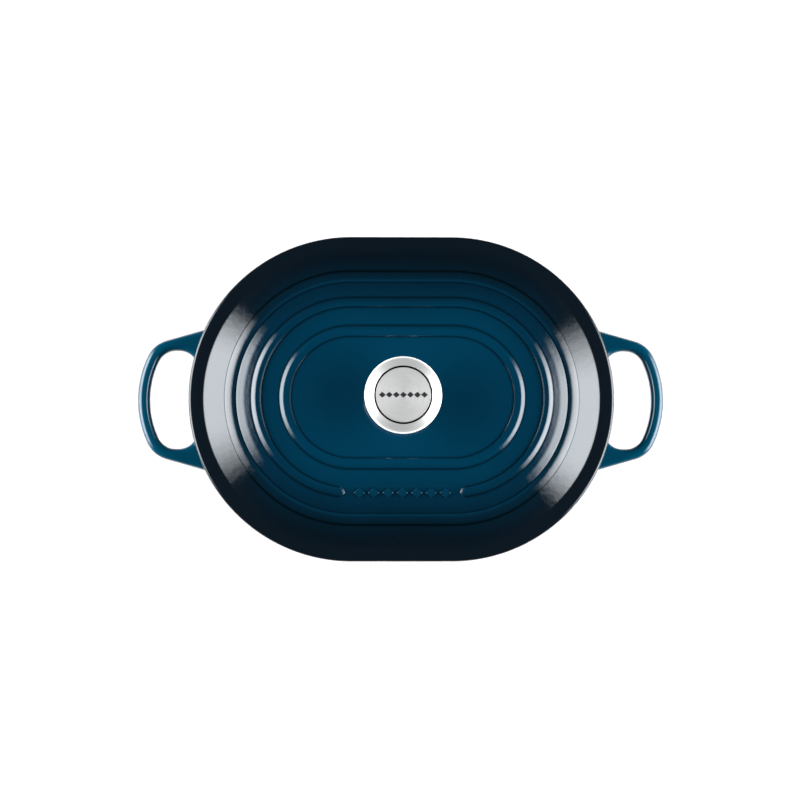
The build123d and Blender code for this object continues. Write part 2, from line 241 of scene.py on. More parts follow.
# ==================================================================================================
# The lid: a domed iron casting with three raised ribs, enamelled like the pot but sprayed from the middle,
# so it is teal at the knob and almost black at its edge. A ridge underneath keeps it on the rim.
# Its half section, drawn from the spine outwards and back, is carried round the oblong.
# Each corner is distance from the spine, height over the rim and rounding, in mm, then coat and painted
# light.
# Coat 0 is teal, 1 is the ground coat where the lid rests on the pot, and 2 is the sand enamel underneath.
# Painted light is colour mixed into the enamel at that corner: below 0 it is painted shade in a crease, above
# 0 a painted highlight on a crest, where the enamel is also thinner.
lid_section = [
    (0.0, 26.4, 0.0, 0, 0.0),
    (45.0, 26.4, 0.15, 0, -0.7),
    (45.5, 27.2, 0.2, 0, 0.1),
    (50.1, 27.5, 3.0, 0, 0.0),
    (53.1, 25.8, 1.0, 0, -0.7),
    (66.9, 25.2, 0.15, 0, -0.7),
    (67.5, 26.5, 0.2, 0, 0.2),
    (71.1, 26.9, 4.0, 0, 0.0),
    (74.0, 24.2, 1.0, 0, -0.75),
    (80.0, 22.95, 36.0, 0, 0.0),
    (86.2, 19.6, 0.3, 0, -0.6),
    (86.9, 20.35, 0.6, 0, 0.6),
    (90.2, 20.3, 11.0, 0, 0.0),
    (93.95, 16.65, 0.3, 0, -0.5),
    (94.6, 16.45, 0.3, 0, -0.7),
    (110.2, 6.8, 3.0, 0, 0.0),
    (121.6, 5.2, 2.2, 0, 0.0),
    (121.6, 0.0, 1.0, 0.45, 0.0),
    (113.6, 0.0, 0.3, 1, 0.0),
    (113.6, -4.5, 1.0, 1, 0.0),
    (110.0, -4.5, 1.0, 1, 0.0),
    (110.0, 3.05, 1.5, 1.4, 0.0),
    (95.8, 12.25, 4.8, 2, 0.0),
    (87.2, 15.35, 4.8, 2, 0.0),
    (82.0, 18.25, 14.0, 2, 0.0),
    (45.8, 21.6, 8.0, 2, 0.0),
    (7.0, 21.6, 0.0, 2, 0.0),
    (0.0, 21.6, 0.0, 2, 0.0),
]
rib_foot = (74.6, 24.1)
rib_end = (66.6, 25.2)
rib_gap_half = 42.8
PAINTED_LIGHT_WIDTH = 0.95  # a corner's painted shade and highlight reach this far to each side of it, in mm
FINE_STEP = 1.4  # longest step on the section's outer face, in mm, so that the painted light stays at its corner


def rounded_section(corners, step=12):
    """The corners with arcs in place of each rounding: (r, z, coat, painted light) for each point, in mm."""
    points = []
    for i, (r, z, rounding, coat, _) in enumerate(corners):
        corner = Vector((r, z))
        if not rounding:
            points.append((corner, coat))
            continue
        before = (Vector(corners[i - 1][:2]) - corner).normalized()
        after = (Vector(corners[i + 1][:2]) - corner).normalized()
        turn = math.pi - before.angle(after)
        side = math.copysign(1.0, before.cross(after))
        start = corner + before * rounding * math.tan(turn / 2)
        centre = corner + (before + after).normalized() * (rounding / math.cos(turn / 2))
        count = max(2, math.ceil(math.degrees(turn) / step))
        for k in range(count + 1):
            spun = Matrix.Rotation(-side * turn * k / count, 2) @ (start - centre)
            points.append((centre + spun, coat))
    line = [points[0]]
    for point, coat in points[1:]:
        before = line[-1][0]
        steps = math.ceil((point - before).length / FINE_STEP) if coat == 0 else 1
        line.extend((before.lerp(point, (k + 1) / steps), coat) for k in range(steps))
    made = []
    for point, coat in line:
        painted_light = 0.0
        for r, z, _, _, strength in corners:
            painted_light += strength * math.exp(-(((point - Vector((r, z))).length / PAINTED_LIGHT_WIDTH) ** 2))
        made.append((point.x, point.y, coat, painted_light))
    return made


def section_object(name, corners, base_height):
    """The rounded half section as an object: a line in the XZ plane, with its coat and painted light."""
    line = rounded_section(corners)
    mesh = bpy.data.meshes.new(name)
    mesh.from_pydata(
        [(r * MM, 0.0, base_height + z * MM) for r, z, _, _ in line],
        [(i, i + 1) for i in range(len(line) - 1)],
        [],
    )
    for label, place_in_line in (("coat", 2), ("painted_light", 3)):
        values = [point[place_in_line] for point in line]
        mesh.attributes.new(label, "FLOAT", "POINT").data.foreach_set("value", values)
    made = bpy.data.objects.new(name, mesh)
    bpy.context.scene.collection.objects.link(made)
    return made


def new_tree(name, sockets):
    """A Geometry Nodes tree with a geometry input and output, and named inputs for its sizes."""
    tree = bpy.data.node_groups.new(name, "GeometryNodeTree")
    tree.interface.new_socket("Geometry", in_out="INPUT", socket_type="NodeSocketGeometry")
    for label, kind in sockets:
        tree.interface.new_socket(label, in_out="INPUT", socket_type="NodeSocket" + kind)
    tree.interface.new_socket("Geometry", in_out="OUTPUT", socket_type="NodeSocketGeometry")
    return tree, tree.nodes.new("NodeGroupInput").outputs


def shape(obj, tree, values):
    """obj becomes the plain mesh that the tree makes from it with these inputs."""
    modifier = obj.modifiers.new(tree.name, "NODES")
    modifier.node_group = tree
    for item in tree.interface.items_tree:
        if item.item_type == "SOCKET" and item.in_out == "INPUT" and item.name in values:
            modifier[item.identifier] = values[item.name]
    graph = bpy.context.evaluated_depsgraph_get()
    mesh = bpy.data.meshes.new_from_object(obj.evaluated_get(graph), depsgraph=graph)
    mesh.name = obj.name
    obj.modifiers.clear()
    obj.data = mesh
    return obj


# Carrying a section round the oblong. The grid's columns start at the middle of the front and go round.
# Half way they meet the middle of the back, and the other half mirrors the first.
carry, given = new_tree(
    "carry a section round the oblong",
    [
        ("Spine Half", "Float"),
        ("Arc Steps", "Int"),
        ("Straight Steps", "Int"),
        ("Front Density", "Float"),
        ("Rib Foot Radius", "Float"),
        ("Rib Foot Height", "Float"),
        ("Rib End Radius", "Float"),
        ("Rib End Height", "Float"),
        ("Rib Gap Half", "Float"),
        ("Hole Radius", "Float"),
        ("Material", "Material"),
    ],
)
rows = add(carry, "GeometryNodeAttributeDomainSize", {"Geometry": given["Geometry"]}).outputs["Point Count"]
half_columns = add(
    carry,
    "ShaderNodeMath",
    {0: given["Straight Steps"], 1: 2.0, 2: given["Arc Steps"]},
    operation="MULTIPLY_ADD",
).outputs[0]
columns = add(carry, "ShaderNodeMath", {0: half_columns, 1: 2.0, 2: 1.0}, operation="MULTIPLY_ADD").outputs[0]
grid = add(carry, "GeometryNodeMeshGrid", {"Vertices X": columns, "Vertices Y": rows})
index = add(carry, "GeometryNodeInputIndex").outputs[0]
column = add(carry, "ShaderNodeMath", {0: index, 1: rows}, operation="DIVIDE").outputs[0]
column = add(carry, "ShaderNodeMath", {0: column}, operation="FLOOR").outputs[0]
row = add(carry, "ShaderNodeMath", {0: index, 1: rows}, operation="MODULO").outputs[0]
past_back = add(carry, "ShaderNodeMath", {0: column, 1: half_columns}, operation="SUBTRACT").outputs[0]
from_back = add(carry, "ShaderNodeMath", {0: past_back}, operation="ABSOLUTE").outputs[0]
step = add(carry, "ShaderNodeMath", {0: half_columns, 1: from_back}, operation="SUBTRACT").outputs[0]
side = add(carry, "ShaderNodeMath", {0: past_back, 1: 0.5}, operation="GREATER_THAN").outputs[0]
side = add(carry, "ShaderNodeMath", {0: side, 1: -2.0, 2: 1.0}, operation="MULTIPLY_ADD").outputs[0]
on_arc = add(carry, "ShaderNodeMath", {0: step, 1: given["Straight Steps"]}, operation="SUBTRACT").outputs[0]
arc_part = add(
    carry, "ShaderNodeMath", {0: on_arc, 1: given["Arc Steps"]}, operation="DIVIDE", use_clamp=True
).outputs[0]
arc_part = add(
    carry, "ShaderNodeMath", {0: arc_part, 1: given["Front Density"]}, operation="POWER"
).outputs[0]
angle = add(
    carry, "ShaderNodeMath", {0: arc_part, 1: math.pi, 2: -math.pi / 2}, operation="MULTIPLY_ADD"
).outputs[0]
front_part = add(
    carry, "ShaderNodeMath", {0: step, 1: given["Straight Steps"]}, operation="DIVIDE", use_clamp=True
).outputs[0]
past_arc = add(carry, "ShaderNodeMath", {0: on_arc, 1: given["Arc Steps"]}, operation="SUBTRACT").outputs[0]
back_part = add(
    carry, "ShaderNodeMath", {0: past_arc, 1: given["Straight Steps"]}, operation="DIVIDE", use_clamp=True
).outputs[0]
straight = add(carry, "ShaderNodeMath", {0: front_part, 1: back_part}, operation="SUBTRACT").outputs[0]
straight = add(
    carry, "ShaderNodeMath", {0: straight, 1: given["Spine Half"]}, operation="MULTIPLY"
).outputs[0]
position = add(carry, "GeometryNodeInputPosition").outputs[0]
point = add(
    carry, "GeometryNodeSampleIndex", {"Geometry": given["Geometry"], "Value": position, "Index": row},
    data_type="FLOAT_VECTOR",
)
point = add(carry, "ShaderNodeSeparateXYZ", {"Vector": point.outputs[0]})
radius = point.outputs["X"]
cosine = add(carry, "ShaderNodeMath", {0: angle}, operation="COSINE").outputs[0]
sine = add(carry, "ShaderNodeMath", {0: angle}, operation="SINE").outputs[0]
x = add(carry, "ShaderNodeMath", {0: radius, 1: cosine, 2: straight}, operation="MULTIPLY_ADD").outputs[0]
y = add(carry, "ShaderNodeMath", {0: radius, 1: sine}, operation="MULTIPLY").outputs[0]
# the gap in the middle rib: there the surface is cut down to the dome's own line, with rounded rib ends
run = add(
    carry, "ShaderNodeMath", {0: given["Rib Foot Radius"], 1: given["Rib End Radius"]}, operation="SUBTRACT"
)
rise = add(
    carry, "ShaderNodeMath", {0: given["Rib End Height"], 1: given["Rib Foot Height"]}, operation="SUBTRACT"
)
slope = add(carry, "ShaderNodeMath", {0: rise.outputs[0], 1: run.outputs[0]}, operation="DIVIDE").outputs[0]
inward = add(
    carry, "ShaderNodeMath", {0: given["Rib Foot Radius"], 1: radius}, operation="SUBTRACT"
).outputs[0]
dome = add(
    carry, "ShaderNodeMath", {0: inward, 1: slope, 2: given["Rib Foot Height"]}, operation="MULTIPLY_ADD"
).outputs[0]
cut = add(carry, "ShaderNodeMath", {0: point.outputs["Z"], 1: dome}, operation="MINIMUM").outputs[0]
across = add(carry, "ShaderNodeMath", {0: inward, 1: run.outputs[0]}, operation="DIVIDE").outputs[0]
across = add(carry, "ShaderNodeMath", {0: across, 1: 2.0, 2: -1.0}, operation="MULTIPLY_ADD").outputs[0]
across = add(carry, "ShaderNodeMath", {0: across}, operation="ABSOLUTE").outputs[0]
near_rib = add(carry, "ShaderNodeMath", {0: across, 1: 1.3}, operation="LESS_THAN").outputs[0]
across = add(carry, "ShaderNodeMath", {0: across, 1: 2.0}, operation="POWER").outputs[0]
rib_tip = add(
    carry, "ShaderNodeMath", {0: across, 1: 3.4 * MM, 2: given["Rib Gap Half"]}, operation="MULTIPLY_ADD"
).outputs[0]
past_tip = add(carry, "ShaderNodeMath", {0: x, 1: rib_tip}, operation="SUBTRACT").outputs[0]
in_gap = add(
    carry,
    "ShaderNodeMapRange",
    {"Value": past_tip, "From Min": -0.1 * MM, "From Max": 1.1 * MM, "To Min": 1.0, "To Max": 0.0},
    interpolation_type="SMOOTHSTEP",
).outputs[0]
at_front = add(carry, "ShaderNodeMath", {0: y, 1: 0.0}, operation="LESS_THAN").outputs[0]
in_gap = add(carry, "ShaderNodeMath", {0: in_gap, 1: at_front}, operation="MULTIPLY").outputs[0]
in_gap = add(carry, "ShaderNodeMath", {0: in_gap, 1: near_rib}, operation="MULTIPLY").outputs[0]
z = add(
    carry, "ShaderNodeMix", {"Factor": in_gap, "A": point.outputs["Z"], "B": cut}, data_type="FLOAT"
).outputs["Result"]
x = add(carry, "ShaderNodeMath", {0: x, 1: side}, operation="MULTIPLY").outputs[0]
place = add(carry, "ShaderNodeCombineXYZ", {"X": x, "Y": y, "Z": z}).outputs[0]
swept = add(
    carry, "GeometryNodeSetPosition", {"Geometry": grid.outputs["Mesh"], "Position": place}
).outputs[0]
for label in ("coat", "painted_light"):
    named = add(carry, "GeometryNodeInputNamedAttribute", {"Name": label}, data_type="FLOAT")
    named = add(
        carry,
        "GeometryNodeSampleIndex",
        {"Geometry": given["Geometry"], "Value": named.outputs["Attribute"], "Index": row},
        data_type="FLOAT",
    )
    value = named.outputs[0]
    if label == "painted_light":
        kept = add(carry, "ShaderNodeMath", {0: 1.0, 1: in_gap}, operation="SUBTRACT").outputs[0]
        value = add(carry, "ShaderNodeMath", {0: value, 1: kept}, operation="MULTIPLY").outputs[0]
    swept = add(
        carry,
        "GeometryNodeStoreNamedAttribute",
        {"Geometry": swept, "Name": label, "Value": value},
        data_type="FLOAT",
    ).outputs[0]
swept = add(carry, "GeometryNodeMergeByDistance", {"Geometry": swept, "Distance": 0.004 * MM}).outputs[0]
swept = add(carry, "GeometryNodeFlipFaces", {"Mesh": swept}).outputs[0]
# a hole through the middle, for a screw
drill = add(carry, "GeometryNodeMeshCylinder", {"Vertices": 48, "Radius": given["Hole Radius"], "Depth": 2.0})
drilled = add(
    carry,
    "GeometryNodeMeshBoolean",
    {"Mesh 1": swept, "Mesh 2": drill.outputs["Mesh"]},
    operation="DIFFERENCE",
).outputs[0]
has_hole = add(
    carry, "FunctionNodeCompare", {0: given["Hole Radius"], 1: 0.0}, operation="GREATER_THAN"
).outputs[0]
swept = add(
    carry, "GeometryNodeSwitch", {"Switch": has_hole, "False": swept, "True": drilled}, input_type="GEOMETRY"
).outputs[0]
swept = add(carry, "GeometryNodeSetShadeSmooth", {"Geometry": swept, "Shade Smooth": True}).outputs[0]
fold = add(carry, "GeometryNodeInputMeshEdgeAngle").outputs["Unsigned Angle"]
is_sharp = add(
    carry, "FunctionNodeCompare", {0: fold, 1: math.radians(35)}, operation="GREATER_THAN"
).outputs[0]
swept = add(
    carry, "GeometryNodeSetShadeSmooth", {"Geometry": swept, "Selection": is_sharp, "Shade Smooth": False},
    domain="EDGE",
).outputs[0]
swept = add(carry, "GeometryNodeRealizeInstances", {"Geometry": swept}).outputs[0]
swept = add(carry, "GeometryNodeSetMaterial", {"Geometry": swept, "Material": given["Material"]}).outputs[0]
add(carry, "NodeGroupOutput", {"Geometry": swept})

lid_enamel, tree = new_material("vitreous enamel of the lid")
place = add(tree, "ShaderNodeTexCoord").outputs["Object"]
distance = spine_distance(tree, place)
along = add(tree, "ShaderNodeSeparateXYZ", {"Vector": place}).outputs["X"]
along = add(tree, "ShaderNodeMath", {0: along}, operation="ABSOLUTE").outputs[0]
to_end = add(
    tree, "ShaderNodeMapRange", {"Value": along, "From Min": 95 * MM, "From Max": 160 * MM, "To Max": 16 * MM}
).outputs[0]
reach = add(tree, "ShaderNodeMath", {0: distance, 1: to_end}, operation="ADD").outputs[0]
reach = add(tree, "ShaderNodeMath", {0: reach, 1: 1 / (125 * MM)}, operation="MULTIPLY").outputs[0]
drift = add(tree, "ShaderNodeTexNoise", {"Vector": place, "Scale": 1 / (40 * MM), "Detail": 2.0})
drift = add(tree, "ShaderNodeMapRange", {"Value": drift.outputs["Fac"], "To Min": -0.03, "To Max": 0.03})
reach = add(tree, "ShaderNodeMath", {0: reach, 1: drift.outputs[0]}, operation="ADD").outputs[0]
# the fade, from the knob to the lid's edge
fade = [
    (0.0, "#002b3f"),
    (0.4, "#002a3d"),
    (0.52, "#002637"),
    (0.6, "#011f2f"),
    (0.68, "#011a28"),
    (0.76, "#02131d"),
    (0.84, "#040e16"),
    (0.92, "#070f15"),
    (1.0, "#080f15"),
]
fade = add(tree, "ShaderNodeValToRGB", {"Fac": reach}, stops=fade).outputs["Color"]
# painted light on the enamel: a painted highlight lightens it on crests, where it is also thinner, and
# painted shade darkens it in creases
painted_light = add(
    tree, "ShaderNodeAttribute", attribute_name="painted_light", attribute_type="GEOMETRY"
).outputs["Fac"]
crest = add(tree, "ShaderNodeMapRange", {"Value": painted_light, "From Max": 1.0, "To Max": 0.4}).outputs[0]
crease = add(tree, "ShaderNodeMapRange", {"Value": painted_light, "From Min": 0.0, "From Max": -1.0}).outputs[0]
coat_colour = add(
    tree, "ShaderNodeMix", {"Factor": crest, "A": fade, "B": linear("#04425a")}, data_type="RGBA"
).outputs["Result"]
coat_colour = add(
    tree, "ShaderNodeMix", {"Factor": crease, "A": coat_colour, "B": linear("#00060a")}, data_type="RGBA"
).outputs["Result"]
coat = add(tree, "ShaderNodeAttribute", attribute_name="coat", attribute_type="GEOMETRY").outputs["Fac"]
is_sand = add(tree, "ShaderNodeMath", {0: coat, 1: 1.5}, operation="GREATER_THAN").outputs[0]
is_matt = add(tree, "ShaderNodeMath", {0: coat, 1: 0.5}, operation="GREATER_THAN").outputs[0]
is_matt = add(tree, "ShaderNodeMath", {0: is_matt, 1: is_sand}, operation="SUBTRACT").outputs[0]
coat_colour = add(
    tree,
    "ShaderNodeMix",
    {"Factor": is_sand, "A": coat_colour, "B": sand_colour(tree, place)},
    data_type="RGBA",
).outputs["Result"]
coat_colour = add(
    tree, "ShaderNodeMix", {"Factor": is_matt, "A": coat_colour, "B": linear("#121314")}, data_type="RGBA"
).outputs["Result"]
roughness = add(tree, "ShaderNodeMapRange", {"Value": is_matt, "To Min": ENAMEL_ROUGHNESS, "To Max": 0.45})
finish_material(
    tree,
    add(
        tree,
        "ShaderNodeBsdfPrincipled",
        {
            "Base Color": coat_colour,
            "Roughness": roughness.outputs[0],
            "IOR": ENAMEL_IOR,
            "Normal": enamel_waves(tree, place),
        },
    ),
)

lid = shape(
    section_object("lid_casting", lid_section, rim_height),
    carry,
    {
        "Spine Half": spine_half,
        "Arc Steps": 130,
        "Straight Steps": 24,
        "Front Density": 1.6,
        "Rib Foot Radius": rib_foot[0] * MM,
        "Rib Foot Height": rim_height + rib_foot[1] * MM,
        "Rib End Radius": rib_end[0] * MM,
        "Rib End Height": rim_height + rib_end[1] * MM,
        "Rib Gap Half": rib_gap_half * MM,
        "Hole Radius": 3.4 * MM,
        "Material": lid_enamel,
    },
)

# A row of plain raised lozenges fills the gap in the middle rib. They are cast with the lid, so the enamel
# rounds them off and thins over them. They are painted lighter all over, partly for the thinner enamel and
# partly as a painted highlight.
row_tree, given = new_tree(
    "row of lozenges",
    [
        ("Count", "Int"),
        ("Pitch", "Float"),
        ("Middle", "Vector"),
        ("Tilt", "Float"),
        ("Size", "Vector"),
        ("Top Share", "Float"),
        ("Painted Light", "Float"),
        ("Material", "Material"),
    ],
)
reach = add(row_tree, "ShaderNodeMath", {0: given["Count"], 1: 1.0}, operation="SUBTRACT").outputs[0]
reach = add(row_tree, "ShaderNodeMath", {0: reach, 1: given["Pitch"]}, operation="MULTIPLY").outputs[0]
reach = add(row_tree, "ShaderNodeMath", {0: reach, 1: -0.5}, operation="MULTIPLY").outputs[0]
start = add(row_tree, "ShaderNodeCombineXYZ", {"X": reach, "Y": 0.0, "Z": 0.0}).outputs[0]
start = add(row_tree, "ShaderNodeVectorMath", {0: start, 1: given["Middle"]}, operation="ADD").outputs[0]
apart = add(row_tree, "ShaderNodeCombineXYZ", {"X": given["Pitch"], "Y": 0.0, "Z": 0.0}).outputs[0]
line = add(
    row_tree, "GeometryNodeMeshLine", {"Count": given["Count"], "Start Location": start, "Offset": apart},
    mode="OFFSET",
).outputs[0]
block = add(
    row_tree,
    "GeometryNodeMeshCone",
    {"Vertices": 4, "Radius Top": given["Top Share"], "Radius Bottom": 1.0, "Depth": 2.0},
).outputs["Mesh"]
block = add(row_tree, "GeometryNodeTransform", {"Geometry": block, "Translation": (0, 0, -1)}).outputs[0]
block = add(row_tree, "GeometryNodeTransform", {"Geometry": block, "Scale": given["Size"]}).outputs[0]
block = add(
    row_tree,
    "GeometryNodeSubdivisionSurface",
    {"Mesh": block, "Level": 3, "Edge Crease": 0.8, "Vertex Crease": 0.7},
).outputs[0]
tilt = add(row_tree, "ShaderNodeCombineXYZ", {"X": given["Tilt"], "Y": 0.0, "Z": 0.0}).outputs[0]
blocks = add(
    row_tree, "GeometryNodeInstanceOnPoints", {"Points": line, "Instance": block, "Rotation": tilt}
).outputs[0]
blocks = add(row_tree, "GeometryNodeRealizeInstances", {"Geometry": blocks}).outputs[0]
blocks = add(row_tree, "GeometryNodeSetShadeSmooth", {"Geometry": blocks, "Shade Smooth": True}).outputs[0]
blocks = add(
    row_tree,
    "GeometryNodeStoreNamedAttribute",
    {"Geometry": blocks, "Name": "painted_light", "Value": given["Painted Light"]},
    data_type="FLOAT",
).outputs[0]
blocks = add(
    row_tree, "GeometryNodeSetMaterial", {"Geometry": blocks, "Material": given["Material"]}
).outputs[0]
both = add(row_tree, "GeometryNodeJoinGeometry", {"Geometry": given["Geometry"]})
row_tree.links.new(blocks, both.inputs[0])
add(row_tree, "NodeGroupOutput", {"Geometry": both.outputs[0]})

dome_slope = (rib_end[1] - rib_foot[1]) / (rib_foot[0] - rib_end[0])
mark_line = (rib_foot[0] + rib_end[0]) / 2
mark_rise = 0.7
mark_height = (rib_foot[1] + rib_end[1]) / 2 + mark_rise
lid = shape(
    lid,
    row_tree,
    {
        "Count": 7,
        "Pitch": 10.6 * MM,
        "Middle": (0.0, -mark_line * MM, rim_height + mark_height * MM),
        "Tilt": math.atan(dome_slope),
        "Size": (4.5 * MM, 4.0 * MM, mark_rise * MM),
        "Top Share": 0.9,
        "Painted Light": 0.25,
        "Material": lid_enamel,
    },
)
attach(lid, "lid")
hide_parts("lid")

# ==================================================================================================
# The knob's shell: stainless sheet, spun to a waisted knob with a bevelled top and a rolled edge, then
# brushed on the lathe, so the scratches run round it. It stands on the lid's flat panel.
# Corners are distance from the knob's axis, height over the panel, and rounding, in mm, then coat and painted
# light:
# a painted highlight on the rolled edge, and painted shade down in the groove round the cap.
panel_height = rim_height + lid_section[0][1] * MM
shell_section = [
    (21.3, 33.3, 0.0, 0, 0.0),
    (21.5, 33.45, 0.1, 0, 0.0),
    (28.2, 30.5, 2.6, 0, 1.6),
    (28.2, 27.9, 0.9, 0, 0.0),
    (26.6, 26.85, 4.0, 0, 0.0),
    (12.6, 13.5, 11.0, 0, 0.0),
    (12.6, 6.0, 3.0, 0, 0.0),
    (17.0, 3.4, 0.8, 0, 0.0),
    (17.0, 0.8, 0.2, 0, 0.0),
    (15.7, 0.8, 0.1, 0, 0.0),
    (15.7, 2.66, 0.3, 0, 0.0),
    (11.3, 5.26, 4.3, 0, 0.0),
    (11.3, 14.06, 12.3, 0, 0.0),
    (25.6, 27.7, 1.0, 0, 0.0),
    (21.6, 29.8, 1.0, 0, 0.0),
    (18.1, 29.8, 0.2, 0, 0.0),
    (18.1, 32.0, 0.2, 0, 0.0),
    (19.7, 32.0, 0.2, 0, -1.0),
    (19.7, 30.8, 0.2, 0, -1.0),
    (21.3, 30.8, 0.2, 0, -1.6),
    (21.3, 33.3, 0.0, 0, 0.0),
]
TURNED = {"Spine Half": 0.0, "Arc Steps": 96, "Straight Steps": 0, "Front Density": 1.0, "Rib Gap Half": -1.0}


def lathe_lines(tree, place, pitch):
    """A value that runs in rings round the Z axis, and drifts slowly on the way round."""
    flat = add(tree, "ShaderNodeVectorMath", {0: place, 1: (1.0, 1.0, 0.0)}, operation="MULTIPLY").outputs[0]
    radius = add(tree, "ShaderNodeVectorMath", {0: flat}, operation="LENGTH").outputs["Value"]
    up = add(tree, "ShaderNodeSeparateXYZ", {"Vector": place}).outputs["Z"]
    along = add(tree, "ShaderNodeMath", {0: radius, 1: up}, operation="SUBTRACT").outputs[0]
    along = add(tree, "ShaderNodeMath", {0: along, 1: 1 / pitch}, operation="MULTIPLY").outputs[0]
    heading = add(tree, "ShaderNodeVectorMath", {0: flat}, operation="NORMALIZE").outputs[0]
    heading = add(
        tree, "ShaderNodeVectorMath", {0: heading, 1: (1.4, 1.4, 0.0)}, operation="MULTIPLY"
    ).outputs[0]
    apart = add(tree, "ShaderNodeSeparateXYZ", {"Vector": heading})
    line = add(
        tree, "ShaderNodeCombineXYZ", {"X": along, "Y": apart.outputs["X"], "Z": apart.outputs["Y"]}
    ).outputs[0]
    lines = add(tree, "ShaderNodeTexNoise", {"Vector": line, "Scale": 1.0, "Detail": 3.0, "Roughness": 0.6})
    return lines.outputs["Fac"]


def brushed_steel(name, dark, light, metallic, roughness, spread, line_pitch, line_depth, anisotropy):
    """Stainless steel with scratches that run round the Z axis: light spreads across them, not along."""
    material, tree = new_material(name)
    place = add(tree, "ShaderNodeTexCoord").outputs["Object"]
    lines = lathe_lines(tree, place, line_pitch)
    rough = add(
        tree,
        "ShaderNodeMapRange",
        {
            "Value": lines,
            "From Min": 0.3,
            "From Max": 0.7,
            "To Min": roughness - spread,
            "To Max": roughness + spread,
        },
    )
    bump = add(tree, "ShaderNodeBump", {"Strength": 0.6, "Distance": line_depth, "Height": lines})
    # a section's painted light: a painted highlight on its edges, where the steel is also made less metallic,
    # and painted shade in its grooves
    painted_light = add(
        tree, "ShaderNodeAttribute", attribute_name="painted_light", attribute_type="GEOMETRY"
    ).outputs["Fac"]
    painted_highlight = add(tree, "ShaderNodeMapRange", {"Value": painted_light, "From Max": 1.0}).outputs[0]
    painted_shade = add(
        tree, "ShaderNodeMapRange", {"Value": painted_light, "From Min": 0.0, "From Max": -1.0}
    ).outputs[0]
    tone = add(tree, "ShaderNodeValToRGB", {"Fac": lines}, stops=[(0.3, dark), (0.7, light)]).outputs["Color"]
    tone = add(
        tree, "ShaderNodeMix", {"Factor": painted_highlight, "A": tone, "B": linear("#fbf8f5")}, data_type="RGBA"
    ).outputs["Result"]
    tone = add(
        tree, "ShaderNodeMix", {"Factor": painted_shade, "A": tone, "B": linear("#101010")}, data_type="RGBA"
    ).outputs["Result"]
    shine = add(
        tree, "ShaderNodeMath", {0: painted_highlight, 1: -metallic, 2: metallic}, operation="MULTIPLY_ADD"
    ).outputs[0]
    tangent = add(tree, "ShaderNodeTangent", direction_type="RADIAL", axis="Z")
    finish_material(
        tree,
        add(
            tree,
            "ShaderNodeBsdfPrincipled",
            {
                "Base Color": tone,
                "Metallic": shine,
                "Roughness": rough.outputs[0],
                "Anisotropic": anisotropy,
                "Anisotropic Rotation": 0.25,
                "Tangent": tangent.outputs[0],
                "Normal": bump.outputs[0],
            },
        ),
    )
    return material


# Lathe scratches are under 0.1 mm apart. They are drawn 0.35 mm apart, so that they show.
shell_steel = brushed_steel(
    "lathe-brushed stainless steel",
    dark="#d1cdc9",
    light="#e7e3df",
    metallic=0.68,
    roughness=0.42,
    spread=0.05,
    line_pitch=0.35 * MM,
    line_depth=0.006 * MM,
    anisotropy=0.4,
)
knob_shell = shape(
    section_object("knob_shell_spun", shell_section, panel_height), carry, {**TURNED, "Material": shell_steel}
)
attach(knob_shell, "lid")
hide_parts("knob_shell")

# The cap: a flat stainless disc, ground finer than the shell and pressed on the ledge inside its bevel. A
# groove is left round it. It carries a row of plain lozenges, etched and filled with black.
# Corners as in the shell's section, then coat and painted light: painted shade on the cap's edge, down in the
# groove.
cap_section = [
    (0.0, 33.5, 0.0, 0, 0.0),
    (19.95, 33.5, 0.25, 0, 0.0),
    (19.95, 32.0, 0.2, 0, -1.2),
    (0.0, 32.0, 0.0, 0, 0.0),
]
# Its grinding is finer than the shell's, so it is duller and spreads light more evenly. Drawn 0.3 mm apart.
cap_steel = brushed_steel(
    "finely ground stainless steel",
    dark="#b7b3b0",
    light="#c7c3c0",
    metallic=0.68,
    roughness=0.56,
    spread=0.03,
    line_pitch=0.3 * MM,
    line_depth=0.003 * MM,
    anisotropy=0.15,
)
etch_black, tree = new_material("black filling of the etched marks")
place = add(tree, "ShaderNodeTexCoord").outputs["Object"]
grain = add(
    tree, "ShaderNodeTexNoise", {"Vector": place, "Scale": 1 / (0.3 * MM), "Detail": 2.0}
).outputs["Fac"]
tone = add(
    tree, "ShaderNodeValToRGB", {"Fac": grain}, stops=[(0.3, "#0a0a0b"), (0.7, "#17181a")]
).outputs["Color"]
finish_material(
    tree,
    add(
        tree,
        "ShaderNodeBsdfPrincipled",
        {"Base Color": tone, "Roughness": 0.5},
    ),
)
knob_cap = shape(
    section_object("knob_cap_disc", cap_section, panel_height), carry, {**TURNED, "Material": cap_steel}
)
knob_cap = shape(
    knob_cap,
    row_tree,
    {
        "Count": 7,
        "Pitch": 5.1 * MM,
        "Middle": (0.0, 0.0, panel_height + 33.53 * MM),
        "Tilt": 0.0,
        "Size": (2.5 * MM, 2.2 * MM, 0.1 * MM),
        "Top Share": 0.96,
        "Painted Light": 0.0,
        "Material": etch_black,
    },
)
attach(knob_cap, "lid")
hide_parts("knob_cap")

# ==================================================================================================
# What holds the knob: a turned steel post, welded inside the shell and tapped for the screw, with a flange
# that bears on the shell's waist. A steel plate closes the foot, on a black gasket that spares the enamel.
turned_steel = brushed_steel(
    "turned mild steel",
    dark="#8d8c8a",
    light="#a5a3a0",
    metallic=0.9,
    roughness=0.36,
    spread=0.05,
    line_pitch=0.4 * MM,
    line_depth=0.012 * MM,
    anisotropy=0.5,
)
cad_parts["knob_core"].material_slots[0].material = turned_steel

